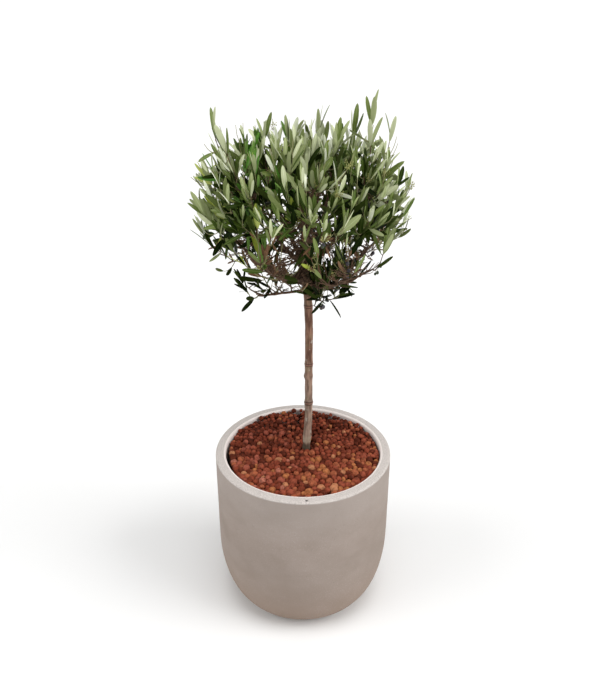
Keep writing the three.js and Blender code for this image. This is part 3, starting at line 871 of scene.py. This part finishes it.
leaves = {
    "length": (37, 65), "halfWidth": (0.078, 0.113),  # the half width is a share of the length
    "thick": 0.55, "rib": 0.45, "inset": 1.5,  # how deep a leaf's foot is set in its twig
    "lowSize": 0.76, "tipSize": 0.74, "drySize": 0.55,  # shares of the full length
    "spacing": 16, "fullSpacing": 11.2, "shootSpacing": 18,  # from pair to pair along a twig
    "from": {0: 0.75, 1: 0.42, 2: 0.3, "stray": 0.72},  # leafless share of a shoot of each rank
    "open": (0.80, 0.32),  # radians away from the twig, at its foot and at its tip
    "lift": 0.42, "scatter": 0.9, "twist": 1.3,  # turns skywards, about the twig and about its own rib
    "missing": 0.12, "missingBelow": 0.58, "missingAbove": 0.26,
    "thinFrom": 940, "thinOver": 60,  # the crown's top is airier, from this height on
    "dry": 0.5,  # share of the leaves under the crown that are old and brown
    "tallAbove": 950, "tallTint": 3,  # leaders that end above this are slender, and their palest tint
    "gloomyFrom": 800, "brightOver": 270,  # tints go from dark to pale over these heights: painted shade low in the crown, painted light towards its top
    "innerShade": 0.62,  # how much darker the leaves are painted towards the middle of the crown, as painted shade
    "rows": (0, 0.05, 0.13, 0.27, 0.44, 0.62, 0.80, 0.935, 1),
    "widths": (0.075, 0.085, 0.44, 0.81, 0.97, 1.0, 0.84, 0.50, 0),
    "fold": (-0.05, 0.34), "bend": (-0.16, 0.12), "sweep": (-0.08, 0.08),
}

tints = (  # upper side and underside, from the darkest to the palest; the dark ones are painted shade inside and under the crown, the pale ones painted light at its top and edge
    ((0.005, 0.012, 0.001), (0.028, 0.043, 0.006)),
    ((0.021, 0.041, 0.003), (0.088, 0.118, 0.030)),
    ((0.063, 0.105, 0.013), (0.192, 0.236, 0.084)),
    ((0.150, 0.203, 0.046), (0.342, 0.388, 0.192)),
    ((0.325, 0.383, 0.155), (0.555, 0.600, 0.375)),
    ((0.530, 0.580, 0.330), (0.790, 0.830, 0.640)),
    ((0.070, 0.205, 0.016), (0.180, 0.325, 0.070)),  # fresh sprays
    ((0.290, 0.355, 0.036), (0.450, 0.510, 0.140)),  # young sprays
    ((0.120, 0.062, 0.030), (0.210, 0.125, 0.070)),  # old leaves under the crown
)
palestTint, freshTint, youngTint, dryTint = 5, 6, 7, 8


def leafFinishes():
    made = []
    for n, (upper, under) in enumerate(tints):
        rib = tuple(mix(low, high, 0.6) for low, high in zip(upper, under))
        made += [Finish(f"leaf_upper_{n}", base=upper, roughness=0.4, specular=0.03 + 0.9 * upper[1]),
                 Finish(f"leaf_under_{n}", base=under, roughness=0.8, specular=0.05),
                 Finish(f"leaf_rib_{n}", base=rib, roughness=0.6, specular=0.05)]
    return made


def pickTint(middle, spray, own):
    # painted shade makes the leaves dark towards the middle and the foot of the crown, painted light makes
    # them pale and silvery at its edge and top
    out = ramp(outwardness(middle, "leafSpace"), 0.6, 0.32)
    high = ramp(middle[2], leaves["gloomyFrom"], leaves["brightOver"])
    freshFrom = 0.66 if middle[0] < -30 else 0.88  # young growth shows most on one side
    if spray > freshFrom and own > 0.25 and high > 0.28 and middle[0] < 60:
        return freshTint if spray < 0.92 else youngTint
    pale = mix(high, out, leaves["innerShade"]) * min(0.15 + 1.75 * high, 1) + 0.16 * ramp(high, 0.72, 0.28)
    variety = (0.5 * (spray - 0.43) + 0.8 * (own - 0.5)) * min(0.45 + 2 * high, 1)
    gloom = 0.18 + 0.16 * (1 - ramp(high, 0, 0.28))
    return int(round(clamp(palestTint * (pale * 0.98 - gloom + variety), 0, palestTint)))


def leafPairs(shoot, tall):
    # place along the shoot, pair and side of every leaf, with one or two at the end
    first = leaves["from"]["stray" if shoot["habit"] == "stray" else shoot["rank"]]
    spacing = leaves["fullSpacing" if shoot["habit"] in ("full", "hanging") else "spacing"]
    if tall:
        spacing = leaves["shootSpacing"]
    length = np.linalg.norm(np.diff(shoot["line"], axis=0), axis=1).sum()
    pairs = max(2, int(round(length * (1 - first) / spacing)))
    places = [(mix(first, 0.96, n / (pairs - 1)), n, side) for n in range(pairs) for side in (0, 1)]
    return places + [(0.995, pairs, side) for side in range(1 if tall else 2)], pairs


def leavesOn(shoot):
    # opposite pairs, each turned a quarter from the last
    line, key = shoot["line"], shoot["key"]
    leader, spray, found = key < len(leaders), chance(60, key), []
    tall = leader and line[-1][2] > leaves["tallAbove"]
    pole = np.array([1.0, 0, 0]) if abs(unit(line[-1] - line[0])[2]) > 0.9 else np.array([0, 0, 1.0])
    high = clamp((line[-1][2] - crown["middle"] + 95) / 70, -0.9)
    places, pairs = leafPairs(shoot, tall)
    for place, n, side in places:
        def draw(k):
            return chance(20 + k, key, 2 * n + side)
        root, direction = pointAlong(line, place)
        bare = bareness(root) if shoot["habit"] == "plain" else 0
        airy = 0 if tall else ramp(root[2], leaves["thinFrom"], leaves["thinOver"])
        missing = mix(mix(leaves["missing"], leaves["missingAbove"], airy), leaves["missingBelow"], bare)
        if draw(7) < missing and (n < pairs or bare > 0.4):
            continue
        across = unit(np.cross(pole, direction))
        around = math.pi * (0.25 + side + 0.5 * n) + (draw(3) - 0.5) * leaves["scatter"]
        out = turned(across, np.cross(direction, across), around)
        opened = mix(0.12, 0.4, draw(4))
        if n < pairs:
            opened = mix(*leaves["open"], place) * mix(0.7, 1.3, draw(4))
        heading = turned(direction, out, opened)
        heading = unit(heading + np.array([0, 0, leaves["lift"] * high * (0.5 + draw(0))]))
        aside = unit(np.cross(direction, heading))
        face, twist = np.cross(heading, aside), (draw(5) - 0.5) * leaves["twist"]
        length = mix(*leaves["length"], mix(0.35, 0.85, draw(1)) if leader else draw(1))
        length *= 1 if place < 0.75 or leader else mix(1, leaves["tipSize"], (place - 0.75) / 0.25)
        length *= mix(leaves["lowSize"], 1, ramp(root[2], leaves["gloomyFrom"], 60))
        tint = pickTint(root + heading * length * 0.5, spray, draw(6))
        if tall:
            tint = min(tint, leaves["tallTint"] + n % 2)
        # painted shade: leaves hanging under the crown take only the two darkest tints
        if shoot["habit"] == "hanging":
            tint = min(tint, 1)
        if bare > 0.15 and draw(12) < leaves["dry"]:
            tint, length = dryTint, length * leaves["drySize"]
        half = length * mix(*leaves["halfWidth"], 0.6 * draw(2) if tall else draw(2))
        curl = (mix(*leaves[name], draw(k)) for name, k in (("fold", 9), ("bend", 10), ("sweep", 11)))
        found.append((*root, *heading, *turned(aside, face, twist), *turned(face, -aside, twist),
                      length, half, *curl, tint))
    return found


def nearWood(points, limbs, margin):
    # True for the points that lie in the trunk or a limb
    heights = np.linspace(tree["foot"], tree["tip"], 40)
    lines = [([trunkMiddle(height) for height in heights], [trunkRadius(height) for height in heights])]
    lines += [limbLine(limb) for limb in limbs]
    middle = np.vstack([line for line, _ in lines])
    radius = np.concatenate([radii for _, radii in lines])
    hit = np.zeros(len(points), bool)
    for part in np.array_split(np.arange(len(points)), 12):
        away = np.linalg.norm(points[part, None] - middle, axis=-1)
        hit[part] = (away < radius + margin).any(1)
    return hit


def leafMesh(found):
    # points (leaf, row, column) with columns left edge, rib left, rib right, right edge and underside
    root, heading, aside, face = (found[:, None, None, i:i + 3] for i in (0, 3, 6, 9))
    length, half, fold, bend, sweep = (found[:, None, None, i:i + 1] for i in range(12, 17))
    t = np.array(leaves["rows"])[None, :, None, None]
    width = half * np.array(leaves["widths"])[None, :, None, None]
    column = np.arange(5)[None, None, :, None]
    rib = np.minimum(leaves["rib"], width * 0.45)
    sideways = np.select([column == i for i in range(4)], [-width, -rib, rib, width], 0.0)
    depth = leaves["thick"] * (0.35 + 0.65 * (width / half))
    above = np.abs(sideways) * fold - np.where(column == 4, depth, 0)
    points = root + heading * (t * length - leaves["inset"])
    points = points + aside * (sideways + sweep * length * t**2) + face * (above + bend * length * t**2)
    rows = len(leaves["rows"]) - 1
    corners = np.concatenate([points[:, :rows].reshape(len(found), -1, 3),
                              (points[:, rows, 1:2] + points[:, rows, 2:3]) / 2], 1)
    faces = []  # two corners, a third one and the kind of surface: 0 upper side, 1 underside, 2 rib
    for here in range(0, rows * 5, 5):
        for a, b, kind in ((0, 1, 0), (1, 2, 2), (2, 3, 0), (3, 4, 1), (4, 0, 1)):
            a, b = here + a, here + b
            if here == (rows - 1) * 5:
                faces.append((a, b, rows * 5, kind))
            else:
                faces += [(a, b, b + 5, kind), (a, b + 5, a + 5, kind)]
    faces = np.array([*faces, (0, 4, 3, 2), (0, 3, 2, 2), (0, 2, 1, 2)])
    count = rows * 5 + 1
    triangles = faces[None, :, :3] + (np.arange(len(found)) * count)[:, None, None]
    kinds = faces[None, :, 3] + found[:, 17:18].astype(int) * 3
    return corners.reshape(-1, 3), triangles.reshape(-1, 3), kinds.reshape(-1)


def sharpenEdges(mesh):
    # the two rims of each leaf are sharp, so that its sides shade apart
    tip = (len(leaves["rows"]) - 1) * 5
    ends = np.empty(len(mesh.edges) * 2, np.int32)
    mesh.edges.foreach_get("vertices", ends)
    ends = ends.reshape(-1, 2) % (tip + 1)
    column = np.where(ends == tip, -1, ends % 5)
    left, right = (((column == rim) | (column == -1)).all(1) for rim in (0, 3))
    sharp = mesh.attributes.new("sharp_edge", "BOOLEAN", "EDGE")
    sharp.data.foreach_set("value", left | right)


def makeLeaves(shoots, limbs):
    finishes = leafFinishes()
    for name, families in (("leaves_low", ("low",)), ("leaves_high", ("high",)),
                           ("leaves_top", ("top", "left_spray", "right_spray", "front_spray"))):
        found, standing = [], []
        for shoot in shoots:
            if shoot["limb"]["family"] in families:
                own = leavesOn(shoot)
                found += own
                standing += [shoot["key"] < len(leaders)] * len(own)
        found = np.array(found)
        way = found[:, 3:6] * found[:, 12:13]
        tip, middle = found[:, :3] + way, found[:, :3] + way * 0.5
        keep = (outwardness(tip, "leafSpace") < 1.01) | np.array(standing)
        keep &= ~nearWood(tip, limbs, 2.5) & ~nearWood(middle, limbs, 1.5)
        piece = addPiece(name, *leafMesh(found[keep]), finishes)
        sharpenEdges(piece.data)
        print(keep.sum(), "leaves")
        dress(piece, [node for node in foliageNodes if any(family in node for family in families)])


# olives and flower buds

fruit = {
    "radius": 3.3, "stalk": 8, "share": 0.62, "fineShare": 0.217, "from": 30, "below": 1040, "most": 3,
    "skins": ((0.018, 0.014, 0.022), (0.035, 0.05, 0.02)), "stalkGreen": (0.16, 0.19, 0.08),
    "budRadius": 1.35, "bud": (0.33, 0.33, 0.11), "budSpike": 17,
    "budFrom": 850, "budShare": 0.05, "budGain": 6,  # so many times more buds on the +X side
}


def hangOlives(heap, shape, faces, shoot):
    for n in range(1 + int(fruit["most"] * chance(41, shoot["key"]))):
        def draw(k):
            return chance(k, shoot["key"], n)
        top, _ = pointAlong(shoot["line"], 0.4 + 0.17 * n)
        foot = top + (4 * (draw(42) - 0.5), 4 * (draw(43) - 0.5), -fruit["stalk"] * mix(0.6, 1.3, draw(44)))
        radius = fruit["radius"] * mix(0.75, 1.15, draw(45))
        stalk = np.array([top, (top + foot) / 2 + (0.4, 0.3, 0), foot])
        heap.add(*tube(stalk, [0.45, 0.4, 0.5], 5), 2)
        olive = shape * (radius, radius, radius * 1.22) + foot - (0, 0, radius)
        heap.add(olive, faces, 0 if draw(46) < 0.7 else 1)


def openBuds(heap, shape, faces, shoot):
    # three spikes of small round buds in opposite pairs
    base, direction = pointAlong(shoot["line"], 0.82)
    for n in range(3):
        heading = unit(direction + 0.7 * towards(2 * math.pi * (chance(48, shoot["key"]) + n / 3), 0.4))
        spike = grow(base, heading, fruit["budSpike"], 0.3, 4)
        heap.add(*tube(spike, [0.42, 0.4, 0.35, 0.3, 0.3], 4))
        for m, point in enumerate(spike[1:]):
            aside = unit(np.cross(heading, (math.sin(m * 1.6), math.cos(m * 1.6), 0.3))) * 2.2
            bud = shape * fruit["budRadius"] * mix(0.7, 1.1, chance(49, shoot["key"], n * 10 + m))
            for side in (-1, 1):
                heap.add(bud + point + aside * side, faces)


def makeFruit(shoots):
    olives, buds, olive, bud = Heap(), Heap(), ball(3), ball(1)
    for shoot in shoots:
        tip, key, rank = shoot["line"][-1], shoot["key"], shoot["rank"]
        if not rank:
            continue
        share = fruit["share" if rank == 1 else "fineShare"]
        if tip[0] > fruit["from"] and tip[2] < fruit["below"] and chance(40, key) < share:
            hangOlives(olives, *olive, shoot)
        gain = fruit["budGain"] if tip[0] > 10 and tip[2] < fruit["below"] else 1
        if tip[2] > fruit["budFrom"] and chance(47, key) < fruit["budShare"] * gain:
            openBuds(buds, *bud, shoot)
    skins = [Finish(f"olive_skin_{n}", base=skin, roughness=0.32, specular=0.5, coat=0.15, coatRoughness=0.4)
             for n, skin in enumerate(fruit["skins"])]
    stalk = Finish("olive_stalk", base=fruit["stalkGreen"], roughness=0.6)
    dress(addPiece("olives", *olives.joined(), [*skins, stalk]), foliageNodes)
    yellow = Finish("flower_bud", base=fruit["bud"], roughness=0.6, specular=0.3)
    dress(addPiece("flower_buds", *buds.joined(), [yellow]), foliageNodes)


# floor, light and camera

studio = {
    "floor": (0.86, 0.86, 0.855), "floorReach": 90,
    "skyLow": 1.0, "skyHigh": 0.40, "skyFade": 0.26,  # white at the horizon, dimmer overhead
    "lamps": (  # where each broad soft lamp stands, its strength and its spread in degrees
        ((0.1, -0.28, 1.5), 1.22, 32),
        ((1.5, -0.5, 1.05), 1.75, 40),
        ((-1.5, -0.5, 1.05), 1.05, 40),
    ),
    "camera": (-0.007, -1.431, 1.352), "down": 26.3, "focal": 742, "longSide": 700, "sensor": 36,
}


def makeStudio():
    reach = studio["floorReach"] / millimetre
    corners = [(-reach, -reach, 0), (reach, -reach, 0), (reach, reach, 0), (-reach, reach, 0)]
    pale = Finish("pale_floor", roughness=0.9, specular=0.1)
    pale.feed({"base": pale.blend(pale.noise(3, 2) * 0.2, studio["floor"], (0.84, 0.84, 0.84))})
    addPiece("floor", corners, [(0, 1, 2), (0, 2, 3)], 0, [pale])
    world = bpy.data.worlds.new("soft_sky")
    world.use_nodes = True
    links, nodes = world.node_tree.links, world.node_tree.nodes
    heading = nodes.new("ShaderNodeTexCoord")
    split = nodes.new("ShaderNodeSeparateXYZ")
    fade = nodes.new("ShaderNodeMapRange")
    fade.interpolation_type = "SMOOTHSTEP"
    for i, value in enumerate((studio["skyFade"], studio["skyLow"], studio["skyHigh"])):
        fade.inputs[i + 2].default_value = value
    links.new(heading.outputs["Generated"], split.inputs[0])
    links.new(split.outputs["Z"], fade.inputs[0])
    links.new(fade.outputs[0], nodes["Background"].inputs["Strength"])
    nodes["Background"].inputs["Color"].default_value = (1, 1, 1, 1)
    bpy.context.scene.world = world
    for n, (place, strength, spread) in enumerate(studio["lamps"]):
        lamp = bpy.data.lights.new(f"lamp_{n}", "SUN")
        lamp.energy, lamp.angle = strength, math.radians(spread)
        holder = bpy.data.objects.new(f"lamp_{n}", lamp)
        holder.location = place
        holder.rotation_euler = Vector(place).to_track_quat("Z", "Y").to_euler()
        bpy.context.scene.collection.objects.link(holder)
    lens = bpy.data.cameras.new("camera")
    lens.sensor_width = studio["sensor"]
    lens.lens = studio["sensor"] * studio["focal"] / studio["longSide"]
    lens.clip_start, lens.clip_end = 0.05, 400
    camera = bpy.data.objects.new("camera", lens)
    camera.location = studio["camera"]
    camera.rotation_euler = (math.radians(90 - studio["down"]), 0, 0)
    bpy.context.scene.collection.objects.link(camera)
    bpy.context.scene.camera = camera
    bpy.context.scene.view_settings.view_transform = "Standard"
    print("studio made")


# the whole plant

makeStudio()
makePlanter()
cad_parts["growing_medium"].data.materials.clear()
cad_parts["growing_medium"].data.materials.append(moistMedium().material)
makePebbles()
allLimbs = planLimbs()
makeWood(allLimbs)
allShoots = growTwigs(allLimbs)
makeTwigs(allShoots, allLimbs)
makeLeaves(allShoots, allLimbs)
makeFruit(allShoots)
